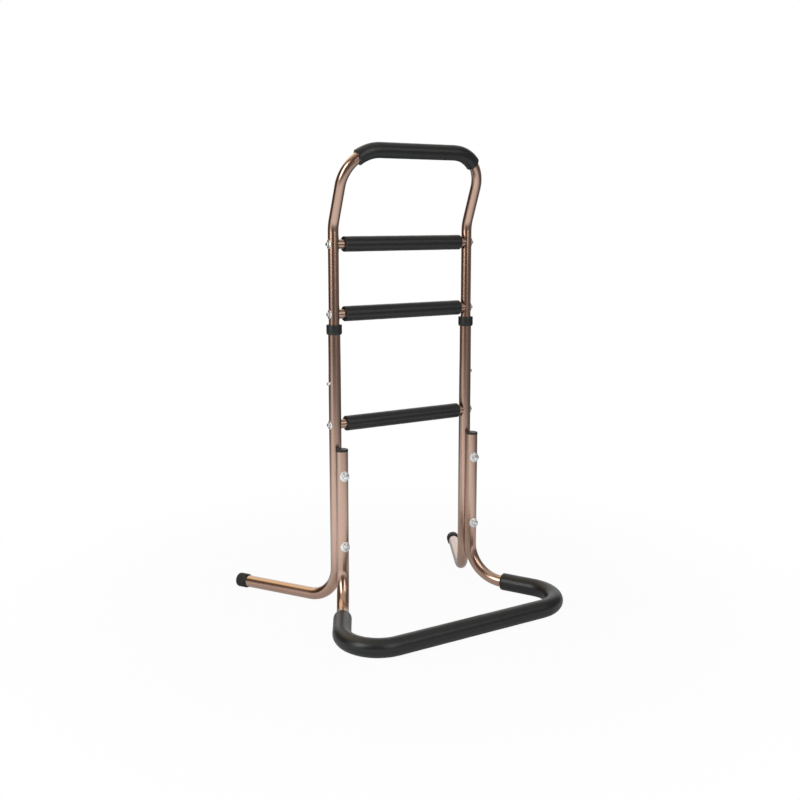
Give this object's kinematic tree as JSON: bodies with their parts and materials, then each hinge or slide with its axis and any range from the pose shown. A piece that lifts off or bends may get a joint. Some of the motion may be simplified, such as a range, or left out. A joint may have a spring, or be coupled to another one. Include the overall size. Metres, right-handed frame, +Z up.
{
  "type": "free-standing support rail",
  "caption": "Free-standing stand-up support rail: height-adjustable bent tube frame with padded handle and rungs, splayed rear feet and a padded front base bolted to its legs.",
  "frame": {"origin": "on the floor, under the middle of the footprint", "axes": "+Z up, -Y towards the padded base at the front, +X to the right post's side of a person who looks at the front of the rail along +Y"},
  "size_m": [0.5954, 0.517, 0.9533],
  "materials": {
    "bronze_paint": "glossy metallic bronze paint",
    "black_foam": "matte closed-cell foam",
    "black_plastic": "satin moulded plastic",
    "black_rubber": "matte rubber",
    "zinc_plate": "bright zinc plate"
  },
  "bodies": {
    "base": {"left_leg_tube": "bronze_paint", "left_leg_collar": "black_plastic", "left_foot_cap": "black_rubber", "left_stub_plug": "black_plastic", "left_upper_clamp_bolt": "zinc_plate", "left_upper_clamp_washer": "zinc_plate", "left_upper_clamp_nut": "zinc_plate", "left_upper_clamp_spacer": "bronze_paint", "left_lower_clamp_bolt": "zinc_plate", "left_lower_clamp_washer": "zinc_plate", "left_lower_clamp_nut": "zinc_plate", "left_lower_clamp_spacer": "bronze_paint", "right_leg_tube": "bronze_paint", "right_leg_collar": "black_plastic", "right_foot_cap": "black_rubber", "right_stub_plug": "black_plastic", "right_upper_clamp_bolt": "zinc_plate", "right_upper_clamp_washer": "zinc_plate", "right_upper_clamp_nut": "zinc_plate", "right_upper_clamp_spacer": "bronze_paint", "right_lower_clamp_bolt": "zinc_plate", "right_lower_clamp_washer": "zinc_plate", "right_lower_clamp_nut": "zinc_plate", "right_lower_clamp_spacer": "bronze_paint", "base_tube": "bronze_paint", "base_foam": "black_foam", "lower_rung_tube": "bronze_paint", "lower_rung_foam": "black_foam", "lower_rung_left_bolt": "zinc_plate", "lower_rung_left_washer": "zinc_plate", "lower_rung_left_insert": "black_plastic", "lower_rung_right_bolt": "zinc_plate", "lower_rung_right_washer": "zinc_plate", "lower_rung_right_insert": "black_plastic"},
    "upper_frame": {"upper_frame_tube": "bronze_paint", "handle_foam": "black_foam", "top_rung_tube": "bronze_paint", "top_rung_foam": "black_foam", "top_rung_left_bolt": "zinc_plate", "top_rung_left_washer": "zinc_plate", "top_rung_left_insert": "black_plastic", "top_rung_right_bolt": "zinc_plate", "top_rung_right_washer": "zinc_plate", "top_rung_right_insert": "black_plastic", "middle_rung_tube": "bronze_paint", "middle_rung_foam": "black_foam", "middle_rung_left_bolt": "zinc_plate", "middle_rung_left_washer": "zinc_plate", "middle_rung_left_insert": "black_plastic", "middle_rung_right_bolt": "zinc_plate", "middle_rung_right_washer": "zinc_plate", "middle_rung_right_insert": "black_plastic", "left_button_spring": "zinc_plate", "right_button_spring": "zinc_plate"},
    "left_button": {"left_snap_button": "zinc_plate"},
    "right_button": {"right_snap_button": "zinc_plate"}
  },
  "joints": [
    {"name": "frame_lift", "type": "slide", "parent": "base", "child": "upper_frame", "axis": [0, 0, 1], "range_m": [0, 0.075], "deforming": ["left_snap_button", "left_button_spring", "right_snap_button", "right_button_spring"]},
    {"name": "left_button_press", "type": "slide", "parent": "upper_frame", "child": "left_button", "axis": [1, 0, 0], "range_m": [0, 0.0062], "stiffness_N_per_m": 1200, "springref_m": -0.002, "deforming": ["left_button_spring"]},
    {"name": "right_button_press", "type": "slide", "parent": "upper_frame", "child": "right_button", "axis": [-1, 0, 0], "range_m": [0, 0.0062], "stiffness_N_per_m": 1200, "springref_m": -0.002, "deforming": ["right_button_spring"]}
  ]
}
